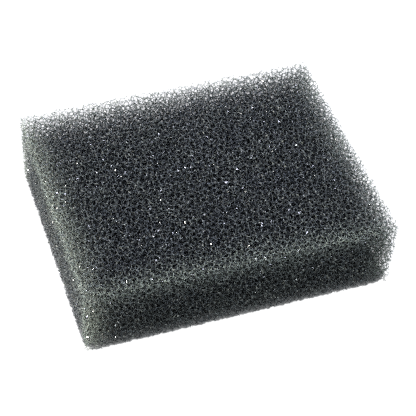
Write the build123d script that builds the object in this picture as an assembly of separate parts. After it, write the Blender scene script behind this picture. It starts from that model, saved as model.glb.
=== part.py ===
"""Foam air filter element for a small engine: one flat block of open-cell foam, cut from sheet.

Frame: +Z up, X along the length, Y along the width, origin at the centre of the bottom face.
The block lies on its lower broad face. In use that face lies on the grid of the filter seat,
and the engine's air passes through the foam along Z.
"""
from build123d import *
import os

# Driving dimensions, in millimetres. The block is cut to inch sizes.
INCH = 25.4
LENGTH = 2.5 * INCH
WIDTH = 2.0 * INCH
THICKNESS = 0.625 * INCH

# The cutting blade leaves the four upright corners very slightly rounded.
CORNER_RADIUS = 0.8

# The open foam's envelope is solid here: pores are far below the size that this model carries.
NODE = "foam_element"


def foam_element():
    """The outer envelope of the foam: a flat block with blade-rounded upright corners."""
    outline = RectangleRounded(LENGTH, WIDTH, CORNER_RADIUS)
    block = extrude(outline, amount=THICKNESS)
    block.label = NODE
    return block


def main():
    os.makedirs("parts", exist_ok=True)
    export_step(foam_element(), f"parts/{NODE}.step")


main()
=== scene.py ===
"""Open-cell foam air filter element: a charcoal block of reticulated foam on a white light table.

The foam is a real network of struts, all the way through the block. Bubbles are packed at random in a cube
that repeats on every side. A junction is a point equally far from four bubbles with no other nearer, and a
strut joins two junctions that share three bubbles. The cube's foam is turned against the block and repeated
until it fills it. Junctions and struts share one closed skin, cut off at the block's faces, and a few corners
near the faces keep a scrap of bubble wall, a film. The skin is split into patches, each a piece of its own.

All sizes are in metres and come from the CAD frame.
"""

import itertools
import math

import bpy
import numpy as np
from mathutils import Euler, Matrix, Vector


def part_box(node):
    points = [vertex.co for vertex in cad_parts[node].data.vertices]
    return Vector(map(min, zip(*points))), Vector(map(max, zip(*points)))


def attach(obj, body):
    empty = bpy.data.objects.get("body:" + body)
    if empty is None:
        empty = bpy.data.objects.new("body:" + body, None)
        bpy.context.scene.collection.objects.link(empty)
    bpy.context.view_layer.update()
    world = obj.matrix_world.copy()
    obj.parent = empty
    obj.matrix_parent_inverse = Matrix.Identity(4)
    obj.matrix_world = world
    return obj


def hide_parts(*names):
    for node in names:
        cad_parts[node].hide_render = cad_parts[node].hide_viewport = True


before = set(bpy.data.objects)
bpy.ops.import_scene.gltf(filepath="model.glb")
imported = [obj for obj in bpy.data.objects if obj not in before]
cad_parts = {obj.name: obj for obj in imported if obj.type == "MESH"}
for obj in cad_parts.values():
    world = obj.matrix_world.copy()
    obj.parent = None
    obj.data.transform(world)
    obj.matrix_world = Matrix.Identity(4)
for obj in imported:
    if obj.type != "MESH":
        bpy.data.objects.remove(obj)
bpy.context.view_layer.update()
NODE = "foam_element"
LOW, HIGH = (np.array(corner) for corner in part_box(NODE))
CENTRE = (LOW + HIGH) / 2
HALF = (HIGH - LOW) / 2
LENGTH = 2 * HALF[0]
MM = 0.001

# The foam's own measures. CELL is the width of a bubble, and JUNCTION is how far a junction's skin is from
# its middle. The spread is the share by which junctions differ, within the range. CORNER_RADIUS is the
# block's own, at its upright edges.
CELL = 1.33 * MM
JUNCTION = 0.060 * MM
JUNCTION_SPREAD = 0.40
JUNCTION_RANGE = (0.6, 1.5)
CORNER_RADIUS = 0.8 * MM

# Films: the share that hold one of the junctions within FILM_DEPTH of a face, and how far it reaches, as a
# share of the two struts that it lies between.
FILM_SHARE = 0.28
FILM_REACH = 0.75
FILM_DEPTH = 2.5 * MM
FILM_THICK = 0.012 * MM

# The cube of packed bubbles, in bubble widths. It holds as many bubbles as make up its own volume. They are
# pushed apart where they are closer than PACKED_GAP, each time by one of PUSHES as a share of the overlap.
# No junction is further than WIDEST_GAP from its bubbles. The last two numbers make room for rounding.
TILE_SIDE = 8.0
TILE_BUBBLES = round(TILE_SIDE**3 / (math.pi / 6))
TILE_TURN = Euler((0.53, 0.31, 1.13))
PACKED_GAP = 1.12
PUSHES = np.linspace(0.5, 0.1, 7)
WIDEST_GAP = 1.0
RELAX_STEPS = 2
RELAX_SHARE = 0.4
FLATTEST = 1e-6
ROUNDING = 1e-7

# The most junctions in a patch of the skin, and the seed of every random draw.
PATCH_JUNCTIONS = 10_500
SEED = 7

rng = np.random.default_rng(SEED)


# ---- The bubbles ----------------------------------------------------------------------------------------

def packed_bubbles():
    """Bubble centres in a cube that repeats on every side, pushed apart until they are evenly packed."""
    centres = rng.uniform(0, TILE_SIDE, (TILE_BUBBLES, 3))
    for push in PUSHES:
        gap = centres[:, None] - centres[None]
        gap -= TILE_SIDE * np.round(gap / TILE_SIDE)
        apart = np.linalg.norm(gap, axis=2)
        np.fill_diagonal(apart, np.inf)
        overlap = np.maximum(PACKED_GAP - apart, 0) / apart
        centres = (centres + push * (gap * overlap[..., None]).sum(axis=1)) % TILE_SIDE
    return centres


def neighbours_of(centres, b):
    """The centres near bubble b, in the cube and in its repeats: their numbers, repeats and places from b."""
    repeats = np.array(list(itertools.product((-1, 0, 1), repeat=3)))
    places = (centres[None] + repeats[:, None] * TILE_SIDE).reshape(-1, 3) - centres[b]
    near = np.linalg.norm(places, axis=1) < 2 * WIDEST_GAP
    itself = len(repeats) // 2 * len(centres) + b
    near[itself] = False
    near = np.flatnonzero(near)
    return near % len(centres), repeats[near // len(centres)], places[near]


def junction_tile(centres):
    """The junctions of the cube's foam: their points, and for each its four bubbles as rows of number and
    repeat, with the lowest number first and at home."""
    points, rows = [], []
    for b in range(len(centres)):
        number, repeat, place = neighbours_of(centres, b)
        later = np.flatnonzero(number > b)
        trio = np.array(list(itertools.combinations(later, 3)))
        if not len(trio):
            continue
        apart = np.linalg.norm(place[trio] - place[np.roll(trio, 1, axis=1)], axis=2).max(axis=1)
        trio = trio[apart < 2 * WIDEST_GAP]
        sides = place[trio]
        solid = np.abs(np.linalg.det(sides)) > FLATTEST
        trio, sides = trio[solid], sides[solid]
        middle = np.linalg.solve(2 * sides, (sides**2).sum(axis=2)[..., None])[..., 0]
        reach = np.linalg.norm(middle, axis=1)
        small = reach < WIDEST_GAP
        trio, middle, reach = trio[small], middle[small], reach[small]
        gaps = np.linalg.norm(middle[:, None] - place[None], axis=2)
        clear = (gaps > reach[:, None] - ROUNDING).all(axis=1)
        for t, m in zip(trio[clear], middle[clear]):
            points.append(m + centres[b])
            near = sorted((number[i], *repeat[i]) for i in t)
            rows.append([(b, 0, 0, 0), *near])
    return np.array(points), np.array(rows)


def strut_tile(rows):
    """The struts of the cube's foam: junction, other junction, and the repeat that the other is in."""
    seen, struts = {}, []
    for junction, row in enumerate(rows):
        for left_out in range(4):
            three = np.delete(row, left_out, axis=0)
            three = three[np.argsort(three[:, 0])]
            home = three[0, 1:].copy()
            three[:, 1:] -= home
            key = three.tobytes()
            if key in seen:
                other, other_home = seen.pop(key)
                struts.append((junction, other, *(home - other_home)))
            else:
                seen[key] = (junction, home)
    return np.array(struts)


def relaxed(points, struts):
    """Struts pull on their junctions, which evens out their angles and lengths as surface tension does."""
    for _ in range(RELAX_STEPS):
        gap = points[struts[:, 1]] + struts[:, 2:] * TILE_SIDE - points[struts[:, 0]]
        pull = np.zeros_like(points)
        np.add.at(pull, struts[:, 0], gap)
        np.add.at(pull, struts[:, 1], -gap)
        points = points + RELAX_SHARE * pull / 4
    return points


def block_distance(points):
    """Distance to the cut faces, negative inside: flat top and bottom, sides with rounded upright corners."""
    off = np.abs(points - CENTRE)
    plan = off[:, :2] - (HALF[:2] - CORNER_RADIUS)
    past = np.linalg.norm(np.maximum(plan, 0), axis=1)
    sides = past + np.minimum(plan.max(axis=1), 0) - CORNER_RADIUS
    return np.maximum(sides, off[:, 2] - HALF[2])


def network():
    """Junction points, and the pairs of junctions that struts join, through the whole block and a little past
    it. The cube is turned against the block, so no two parts of a cut face go through it alike."""
    centres = packed_bubbles()
    tile, rows = junction_tile(centres)
    struts = strut_tile(rows)
    tile = relaxed(tile, struts)
    turn = np.array(TILE_TURN.to_matrix())
    side = TILE_SIDE * CELL
    reach = int(math.ceil(np.linalg.norm(HALF) / side)) + 1
    margin = reach + 2
    steps = np.array(list(itertools.product(range(-reach, reach + 1), repeat=3)))
    middles = (steps + 0.5) * side @ turn.T + CENTRE
    steps = steps[block_distance(middles) < side]
    number = np.full((2 * margin + 1,) * 3, -1)
    number[tuple((steps + margin).T)] = np.arange(len(steps))
    points = ((tile[None] + steps[:, None] * TILE_SIDE) * CELL).reshape(-1, 3) @ turn.T + CENTRE
    pairs = []
    for n, step in enumerate(steps):
        other = number[tuple((step + struts[:, 2:] + margin).T)]
        known = other >= 0
        here = n * len(tile) + struts[known, 0]
        there = other[known] * len(tile) + struts[known, 1]
        pairs.append(np.stack([here, there], axis=1))
    return points, np.concatenate(pairs)


# ---- The skin -------------------------------------------------------------------------------------------

# A junction has a corner between each two of its four struts. For each strut, AROUND lists the three corners
# round it, and ACROSS the three on the other side of the junction.
PAIRS = [(0, 1), (0, 2), (0, 3), (1, 2), (1, 3), (2, 3)]
AROUND = np.array([[PAIRS.index(pair) for pair in PAIRS if strut in pair] for strut in range(4)])
ACROSS = np.array([[PAIRS.index(pair) for pair in PAIRS if strut not in pair] for strut in range(4)])

# A film has three points on one side and the same three on the other. Its faces are the two sides and the
# narrow strips along the three edges between them.
FILM_POINTS = 6
FILM_EDGES = ((0, 1), (1, 2), (2, 0))
FILM_FACES = np.array(
    [(0, 1, 2), (5, 4, 3)] + [face for i, j in FILM_EDGES for face in ((i, i + 3, j + 3), (i, j + 3, j))]
)

SIDE_NAMES = ("left", "right", "front", "back", "bottom", "top")

# How often a strut is halved to find where it is cut, and the least length that a vector is divided by.
HALVINGS = 22
TINY = 1e-12


def unit(vectors):
    return vectors / np.maximum(np.linalg.norm(vectors, axis=-1, keepdims=True), TINY)


def facing(rows, points, way):
    """The rows of three points, turned over where needed so that each triangle faces its way."""
    a, b, c = (points[rows[..., i]] for i in range(3))
    wrong = (np.cross(b - a, c - a) * way).sum(axis=-1) < 0
    turned = rows.copy()
    turned[wrong] = rows[wrong][:, [0, 2, 1]]
    return turned


def cut_point(inner, outer):
    """Where each line from inner, inside the block, to outer, past a cut face, meets that face."""
    low, high = np.zeros(len(inner)), np.ones(len(inner))
    for _ in range(HALVINGS):
        middle = (low + high) / 2
        inside = block_distance(inner + (outer - inner) * middle[:, None]) < 0
        low = np.where(inside, middle, low)
        high = np.where(inside, high, middle)
    return inner + (outer - inner) * low[:, None]


def side_of(points):
    """The number of the face of the block that is nearest, as SIDE_NAMES lists them."""
    gaps = np.stack([points - LOW, HIGH - points], axis=2).reshape(-1, len(SIDE_NAMES))
    return gaps.argmin(axis=1)


def patches_of(points):
    """A patch number for each junction, and each patch's name and side. A patch lies at one of the faces."""
    sides = side_of(points)
    patch = np.empty(len(points), int)
    names = []
    for s, name in enumerate(SIDE_NAMES):
        mine = np.flatnonzero(sides == s)
        along = 1 if name in ("left", "right") else 0
        order = mine[np.argsort(points[mine, along], kind="stable")]
        parts = np.array_split(order, math.ceil(len(order) / PATCH_JUNCTIONS))
        for n, part in enumerate(parts):
            patch[part] = len(names)
            names.append((f"foam_{name}_{n + 1}", s))
    return patch, names


def kept_struts(points, pairs):
    """Which junctions are kept, those inside the block with all their struts, and the struts that such a
    junction holds, with it first."""
    kept = block_distance(points) < 0
    kept &= np.bincount(pairs.ravel(), minlength=len(points)) == 4
    pairs = pairs[kept[pairs].any(axis=1)]
    swap = ~kept[pairs[:, 0]]
    pairs[swap] = pairs[swap][:, ::-1]
    return kept, pairs


def struts_by_junction(kept, pairs):
    """The kept junctions, and for each its four struts, which end of each it is, and what they lead to."""
    ends = pairs.T.ravel()
    others = pairs[:, ::-1].T.ravel()
    order = np.argsort(ends, kind="stable")
    order = order[kept[ends[order]]].reshape(-1, 4)
    return ends[order[:, 0]], order % len(pairs), order // len(pairs), others[order]


def corners_of(at, ways):
    """The six corners of each junction, in the order of PAIRS."""
    size = JUNCTION * np.clip(rng.normal(1, JUNCTION_SPREAD, len(at)), *JUNCTION_RANGE)
    between = unit(np.stack([ways[:, a] + ways[:, b] for a, b in PAIRS], axis=1))
    return (at[:, None] + between * size[:, None, None]).reshape(-1, 3)


def rings(which, corners, ways):
    """For each junction and strut the three corners that which lists, in order round the strut's way."""
    base = np.arange(len(ways))[:, None] * len(PAIRS)
    return np.stack([facing(base + which[s], corners, ways[:, s]) for s in range(4)], axis=1)


def opposite(far, near, points):
    """The far rows of three points, each rolled so that its points lie closest to the near row's."""
    turns = [np.roll(far, roll, axis=1) for roll in range(3)]
    spans = np.stack([np.linalg.norm(points[turn] - points[near], axis=2).sum(axis=1) for turn in turns])
    return np.choose(spans.argmin(axis=0)[:, None], turns)


def strut_ends(struts, ends, collars, corners):
    """For each strut, the two junctions that it joins and the three corners round each of its ends. The
    second junction and corners are -1 if the strut is cut off."""
    owner = np.full((struts.max() + 1, 2), -1)
    slot = np.zeros_like(owner)
    owner[struts, ends] = np.arange(len(struts))[:, None]
    slot[struts, ends] = np.arange(4)
    joined = owner[:, 1] >= 0
    start = collars[owner[:, 0], slot[:, 0]]
    far = collars[owner[joined, 1], slot[joined, 1]][:, ::-1]
    finish = np.full_like(start, -1)
    finish[joined] = opposite(far, start[joined], corners)
    return owner, start, finish


def tips_of(begin, end, collar):
    """The three end points of each cut strut, carried on from its collar and cut off at the block's faces."""
    reach = np.linalg.norm(end - begin, axis=1) + 2 * JUNCTION
    tip = collar + (unit(end - begin) * reach[:, None])[:, None]
    return cut_point(collar.reshape(-1, 3), tip.reshape(-1, 3))


def films_of(at, arms, ways):
    """The junctions that hold a film, and each film's six points, between two of the junction's struts."""
    near_face = block_distance(at) > -FILM_DEPTH
    chosen = np.flatnonzero((rng.random(len(at)) < FILM_SHARE) & near_face)
    first, second = np.array(PAIRS)[rng.integers(len(PAIRS), size=len(chosen))].T
    reach = np.linalg.norm(arms, axis=2) * FILM_REACH
    one = at[chosen] + ways[chosen, first] * reach[chosen, first, None]
    two = at[chosen] + ways[chosen, second] * reach[chosen, second, None]
    sheet = np.stack([at[chosen], one, two], axis=1)
    lift = unit(np.cross(sheet[:, 1] - sheet[:, 0], sheet[:, 2] - sheet[:, 0]))[:, None] * FILM_THICK / 2
    return chosen, np.concatenate([sheet + lift, sheet - lift], axis=1).reshape(-1, 3)


def skin():
    """The foam's skin: its points, its four-sided faces, three-sided faces and films' faces, each with the
    patch of every face, and the patches' names and sides."""
    points, pairs = network()
    kept, pairs = kept_struts(points, pairs)
    junctions, struts, ends, others = struts_by_junction(kept, pairs)
    at = points[junctions]
    arms = points[others] - at[:, None]
    ways = unit(arms)
    patch, names = patches_of(at)
    corners = corners_of(at, ways)
    webs = rings(ACROSS, corners, -ways)
    owner, start, finish = strut_ends(struts, ends, rings(AROUND, corners, ways), corners)

    cut = np.flatnonzero(owner[:, 1] < 0)
    tips = tips_of(points[pairs[cut, 0]], points[pairs[cut, 1]], corners[start[cut]])
    finish[cut] = len(corners) + np.arange(len(tips)).reshape(-1, 3)

    # A strut between two patches belongs to the first, and both patches are closed where they part.
    home = patch[owner[:, 0]]
    other_home = np.where(owner[:, 1] < 0, home, patch[owner[:, 1]])
    split = np.flatnonzero(other_home != home)
    triangles = [*webs.swapaxes(0, 1), finish[cut], finish[split], finish[split][:, ::-1]]
    triangle_patch = [patch] * 4 + [home[cut], home[split], other_home[split]]

    beside = [(i, (i + 1) % 3) for i in range(3)]
    quads = [np.stack([start[:, i], start[:, j], finish[:, j], finish[:, i]], axis=1) for i, j in beside]

    chosen, film_points = films_of(at, arms, ways)
    film_base = len(corners) + len(tips) + np.arange(len(chosen)) * FILM_POINTS
    films = film_base[:, None, None] + FILM_FACES
    faces = [
        (np.stack(quads, axis=1).reshape(-1, 4), np.repeat(home, 3)),
        (np.concatenate(triangles), np.concatenate(triangle_patch)),
        (films.reshape(-1, 3), np.repeat(patch[chosen], len(FILM_FACES))),
    ]
    return np.clip(np.concatenate([corners, tips, film_points]), LOW, HIGH), faces, names


def mesh_of(name, side, points, quads, triangles, films):
    """A mesh of these faces, with only the points that they use, smooth but for the films. Its map looks
    straight at the side of the block that it belongs to."""
    corners = np.concatenate([quads.ravel(), triangles.ravel(), films.ravel()])
    used, corners = np.unique(corners, return_inverse=True)
    sizes = np.concatenate([np.full(len(quads), 4), np.full(len(triangles) + len(films), 3)])
    starts = np.concatenate([[0], np.cumsum(sizes)[:-1]])
    mesh = bpy.data.meshes.new(name)
    mesh.vertices.add(len(used))
    mesh.vertices.foreach_set("co", points[used].astype(np.float32).ravel())
    mesh.loops.add(len(corners))
    mesh.loops.foreach_set("vertex_index", corners.astype(np.int32).ravel())
    mesh.polygons.add(len(sizes))
    mesh.polygons.foreach_set("loop_start", starts.astype(np.int32))
    is_film = np.arange(len(sizes)) >= len(quads) + len(triangles)
    mesh.polygons.foreach_set("use_smooth", ~is_film)
    mesh.polygons.foreach_set("material_index", is_film.astype(np.int32))
    mesh.update(calc_edges=True)
    spots = np.delete(points[used], side // 2, axis=1)
    spots = (spots - spots.min(axis=0)) / np.ptp(spots, axis=0)
    mesh.uv_layers.new(name="OFBake").uv.foreach_set("vector", spots[corners].astype(np.float32).ravel())
    return mesh


def add_piece(name, mesh, materials):
    piece = bpy.data.objects.new(name, mesh)
    for material in materials:
        mesh.materials.append(material)
    bpy.context.scene.collection.objects.link(piece)
    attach(piece, "root")
    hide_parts(NODE)


def add_foam():
    materials = foam_material(), film_material()
    points, faces, names = skin()
    for p, (name, side) in enumerate(names):
        mine = [rows[patch == p] for rows, patch in faces]
        add_piece(name, mesh_of(name, side, points, *mine), materials)


# ---- Materials ------------------------------------------------------------------------------------------

# Noise scales are in waves per metre.
TONE_SCALE = 2600
FINE_SCALE = 14000
DRIFT_SCALE = 160
FLOOR_SCALE = 1100
BUMP_HEIGHT = 0.01 * MM

# The struts' tone changes from one to the next and drifts slowly across the block. Shade and light are also
# painted into it. Painted light makes it lightest at the cut faces, and painted shade makes it fall off below
# them over the fade depth, where the foam hides the light. Near the upright and top edges, within EDGE_REACH,
# the struts are painted greener, and bluer away from them, and they let more light through. This is painted
# light for the glow that comes through the block's edges. THROUGH_SHARE is how much of their look that light
# makes up.
STRUT_TONES = [
    (0.30, (0.010, 0.0120, 0.0115)),
    (0.55, (0.032, 0.037, 0.0365)),
    (0.78, (0.115, 0.130, 0.128)),
]
DRIFT_TONES = [(0.35, (0.75, 0.78, 0.84)), (0.65, (1.2, 1.22, 1.12))]
SHADE_FADE = 0.95 * MM
DEEP_SHADE, FACE_LIGHT = 0.08, 3.7
EDGE_REACH = 6.5 * MM
# Painted light near the edges: the struts' tint there, and the light that they let through.
EDGE_LIGHT_TONES = [(0.0, (0.90, 0.89, 0.95)), (1.0, (0.68, 0.74, 0.70))]
THROUGH_TONES = [(0.0, (0.29, 0.31, 0.31)), (1.0, (0.80, 0.85, 0.78))]
THROUGH_SHARE = 0.55
STRUT_ROUGHNESS = (0.25, 0.55)
STRUT_BUMP = 0.5

FILM_TONES = [(0.3, (0.05, 0.055, 0.05)), (0.7, (0.20, 0.21, 0.18))]
FILM_ROUGHNESS = (0.12, 0.30)
FILM_BUMP = 0.2


def new_material(name):
    material = bpy.data.materials.new(name)
    material.use_nodes = True
    tree = material.node_tree
    return material, tree, tree.nodes["Principled BSDF"]


def add_node(tree, kind, inputs=(), **settings):
    """A node with these settings, and each input linked to the socket, or set to the value, given for it."""
    node = tree.nodes.new("ShaderNode" + kind)
    for name, value in settings.items():
        setattr(node, name, value)
    for name, value in dict(inputs).items():
        if isinstance(value, bpy.types.NodeSocket):
            tree.links.new(value, node.inputs[name])
        else:
            node.inputs[name].default_value = value
    return node


def object_place(tree):
    return add_node(tree, "TexCoord").outputs["Object"]


def noise(tree, place, scale, detail=2.0):
    return add_node(tree, "TexNoise", {"Vector": place, "Scale": scale, "Detail": detail}).outputs["Fac"]


def ramp(tree, value, stops):
    """The colour for a value, on a ramp through stops of place and colour."""
    node = add_node(tree, "ValToRGB", {"Fac": value})
    elements = node.color_ramp.elements
    while len(elements) < len(stops):
        elements.new(0.5)
    for element, (place, colour) in zip(elements, stops):
        element.position = place
        element.color = (*colour, 1)
    return node.outputs["Color"]


def mapped(tree, value, low, high, from_low=0.0, from_high=1.0):
    inputs = {"Value": value, "From Min": from_low, "From Max": from_high, "To Min": low, "To Max": high}
    return add_node(tree, "MapRange", inputs).outputs["Result"]


def calculated(tree, operation, first, second):
    return add_node(tree, "Math", {0: first, 1: second}, operation=operation).outputs["Value"]


def multiplied(tree, first, second):
    inputs = {"Factor": 1.0, "A": first, "B": second}
    return add_node(tree, "Mix", inputs, data_type="RGBA", blend_type="MULTIPLY").outputs["Result"]


def moved(tree, vector, *steps):
    """The vector after each step in turn: an operation, and the fixed vector that it takes, if any."""
    for operation, *fixed in steps:
        step = add_node(tree, "VectorMath", dict(enumerate([vector, *fixed])), operation=operation)
        vector = step.outputs["Value" if operation == "LENGTH" else "Vector"]
    return vector


def parts_of(tree, vector):
    parts = add_node(tree, "SeparateXYZ", {"Vector": vector})
    return [parts.outputs[axis] for axis in "XYZ"]


def bumped(tree, height, strength):
    inputs = {"Height": height, "Strength": strength, "Distance": BUMP_HEIGHT}
    return add_node(tree, "Bump", inputs).outputs["Normal"]


def face_distances(tree, place):
    """How far a point of the foam is from the block's nearest face, and how far from its nearest upright or
    top edge, measured along the face. Both are in metres, and below zero inside."""
    off = moved(tree, place, ("SUBTRACT", CENTRE))
    height = parts_of(tree, off)[2]
    x, y, z = parts_of(tree, moved(tree, off, ("ABSOLUTE",), ("SUBTRACT", HALF)))
    sides = calculated(tree, "MAXIMUM", x, y)
    nearest = calculated(tree, "MAXIMUM", sides, z)
    below_top = calculated(tree, "SUBTRACT", height, HALF[2])
    upright = calculated(tree, "MINIMUM", x, y)
    level = calculated(tree, "MINIMUM", sides, below_top)
    return nearest, calculated(tree, "MAXIMUM", upright, level)


def foam_material():
    """The struts: painted shade makes them near black deep down and painted light paler where they are cut,
    with some light coming through them.
    """
    material, tree, shader = new_material("foam")
    place = object_place(tree)
    fine = noise(tree, place, FINE_SCALE)
    nearest, edge = face_distances(tree, place)
    edge = mapped(tree, edge, 0.0, 1.0, -EDGE_REACH, 0.0)
    tone = ramp(tree, noise(tree, place, TONE_SCALE, 1.0), STRUT_TONES)
    tone = multiplied(tree, tone, ramp(tree, noise(tree, place, DRIFT_SCALE), DRIFT_TONES))
    # Painted shade and light: darker with depth below the nearest cut face, lighter at it.
    tone = multiplied(tree, tone, mapped(tree, nearest, DEEP_SHADE, FACE_LIGHT, -SHADE_FADE, 0.0))
    # Painted light: the struts are tinted greener near the upright and top edges, and bluer away from them.
    tone = multiplied(tree, tone, ramp(tree, edge, EDGE_LIGHT_TONES))
    tree.links.new(tone, shader.inputs["Base Color"])
    tree.links.new(mapped(tree, fine, *STRUT_ROUGHNESS), shader.inputs["Roughness"])
    tree.links.new(bumped(tree, fine, STRUT_BUMP), shader.inputs["Normal"])
    # The light let through is stronger near the edges, a painted glow for the light through the block's
    # edges.
    through = add_node(tree, "BsdfTranslucent", {"Color": ramp(tree, edge, THROUGH_TONES)})
    both = {0: THROUGH_SHARE, 1: shader.outputs["BSDF"], 2: through.outputs["BSDF"]}
    mix = add_node(tree, "MixShader", both)
    tree.links.new(mix.outputs["Shader"], tree.nodes["Material Output"].inputs["Surface"])
    return material


def film_material():
    """The scraps of bubble wall: the same foam, but thin, taut and shiny."""
    material, tree, shader = new_material("film")
    tone = noise(tree, object_place(tree), TONE_SCALE, 1.0)
    shader.inputs["Specular IOR Level"].default_value = 1.0
    tree.links.new(ramp(tree, tone, FILM_TONES), shader.inputs["Base Color"])
    tree.links.new(mapped(tree, tone, *FILM_ROUGHNESS), shader.inputs["Roughness"])
    tree.links.new(bumped(tree, tone, FILM_BUMP), shader.inputs["Normal"])
    return material


# ---- The stage ------------------------------------------------------------------------------------------

# The camera looks down at the block from the front, a little to the left, and is turned a little on its own
# axis. CLIP is how near and how far it sees.
VIEW_AZIMUTH = math.radians(-21.6)
VIEW_ELEVATION = math.radians(46.99)
VIEW_ROLL = math.radians(3.86)
VIEW_DISTANCE = 4.495 * LENGTH
VIEW_TARGET = CENTRE + LENGTH * np.array((0.0030, -0.0478, 0.0))
SENSOR_MM = 36.0
FOCAL_MM = 121.7
CLIP = (0.01, 10.0)

# The floor is a light table with a painted shadow under the block. Its glow grows over the last UNDER of the
# block's footprint as the painted shadow's ramp says, and noise of up to RAGGED of that distance makes the
# shadow's edge uneven.
FLOOR_REACH = 20 * LENGTH
FLOOR_GAP = 0.02 * MM
FLOOR_GREY = (0.10, 0.10, 0.10, 1)
FLOOR_ROUGHNESS = 0.7
UNDER = 3.0 * MM
RAGGED = 0.13
NOISE_RANGE = (0.3, 0.7)
PAINTED_SHADOW = [(0.0, 0.0), (0.62, 0.03), (0.77, 0.06), (0.90, 0.12), (0.98, 0.30), (1.0, 1.0)]

# The sky's colour by height, and the lamps: name, place, size in metres, power in watts and colour.
SKY = [(0.0, (1.0, 1.0, 1.0)), (0.08, (0.5, 0.53, 0.53)), (0.4, (0.20, 0.22, 0.31))]
COOL = (0.78, 0.79, 1.0)
LAMPS = [
    ("key", (-0.44, 0.06, 0.085), 0.08, 7.0, (1.0, 0.955, 0.90)),
    ("overhead", (0.10, 0.20, 0.44), 0.10, 1.65, COOL),
    ("overhead", (-0.20, 0.18, 0.44), 0.10, 1.65, COOL),
    ("overhead", (0.25, 0.0, 0.44), 0.10, 1.65, COOL),
    ("front", (0.10, -0.42, 0.34), 0.06, 2.8, (0.90, 0.97, 0.98)),
]


def add_camera():
    data = bpy.data.cameras.new("camera")
    data.sensor_width = SENSOR_MM
    data.lens = FOCAL_MM
    data.clip_start, data.clip_end = CLIP
    camera = bpy.data.objects.new("camera", data)
    bpy.context.scene.collection.objects.link(camera)
    a, e = VIEW_AZIMUTH, VIEW_ELEVATION
    back = Vector((math.sin(a) * math.cos(e), -math.cos(a) * math.cos(e), math.sin(e)))
    turn = (-back).to_track_quat("-Z", "Y").to_matrix() @ Matrix.Rotation(VIEW_ROLL, 3, "Z")
    camera.matrix_world = Matrix.Translation(Vector(VIEW_TARGET) + back * VIEW_DISTANCE) @ turn.to_4x4()
    bpy.context.scene.camera = camera


def floor_glow(tree):
    """How strongly the floor glows: white, but with a painted shadow under the block, with an uneven edge
    between.
    """
    place = object_place(tree)
    inner = (*(HALF[:2] - UNDER), 0)
    past = moved(tree, place, ("ABSOLUTE",), ("SUBTRACT", inner), ("MAXIMUM", (0, 0, 0)), ("LENGTH",))
    ragged = mapped(tree, noise(tree, place, FLOOR_SCALE), 0.0, RAGGED, *NOISE_RANGE)
    edge = calculated(tree, "ADD", mapped(tree, past, 0.0, 1.0, 0.0, UNDER), ragged)
    # Painted shadow: the glow ramps down to dark under the block.
    return ramp(tree, edge, [(share, (glow,) * 3) for share, glow in PAINTED_SHADOW])


def add_floor():
    mesh = bpy.data.meshes.new("floor")
    r, z = FLOOR_REACH, LOW[2] - FLOOR_GAP
    mesh.from_pydata([(-r, -r, z), (r, -r, z), (r, r, z), (-r, r, z)], [], [(0, 1, 2, 3)])
    material, tree, shader = new_material("white_floor")
    shader.inputs["Base Color"].default_value = FLOOR_GREY
    shader.inputs["Roughness"].default_value = FLOOR_ROUGHNESS
    shader.inputs["Specular IOR Level"].default_value = 0.0
    shader.inputs["Emission Color"].default_value = (1, 1, 1, 1)
    tree.links.new(floor_glow(tree), shader.inputs["Emission Strength"])
    mesh.materials.append(material)
    floor = bpy.data.objects.new("floor", mesh)
    bpy.context.scene.collection.objects.link(floor)


def add_sky():
    world = bpy.data.worlds.new("world")
    bpy.context.scene.world = world
    world.use_nodes = True
    tree = world.node_tree
    height = parts_of(tree, add_node(tree, "TexCoord").outputs["Generated"])[2]
    tree.links.new(ramp(tree, height, SKY), tree.nodes["Background"].inputs["Color"])


def add_lamp(name, place, size, power, colour):
    """A round lamp that points at the block."""
    data = bpy.data.lights.new(name, "AREA")
    data.shape = "DISK"
    data.size = size
    data.energy = power
    data.color = colour
    lamp = bpy.data.objects.new(name, data)
    lamp.location = place
    lamp.rotation_mode = "QUATERNION"
    lamp.rotation_quaternion = (Vector(CENTRE) - Vector(place)).to_track_quat("-Z", "Y")
    bpy.context.scene.collection.objects.link(lamp)


# The foam is finer than a denoiser can tell from noise, so it would smear the struts.
bpy.context.scene.cycles.use_denoising = False
bpy.context.scene.view_settings.view_transform = "Standard"
add_camera()
add_floor()
add_sky()
for lamp in LAMPS:
    add_lamp(*lamp)
add_foam()
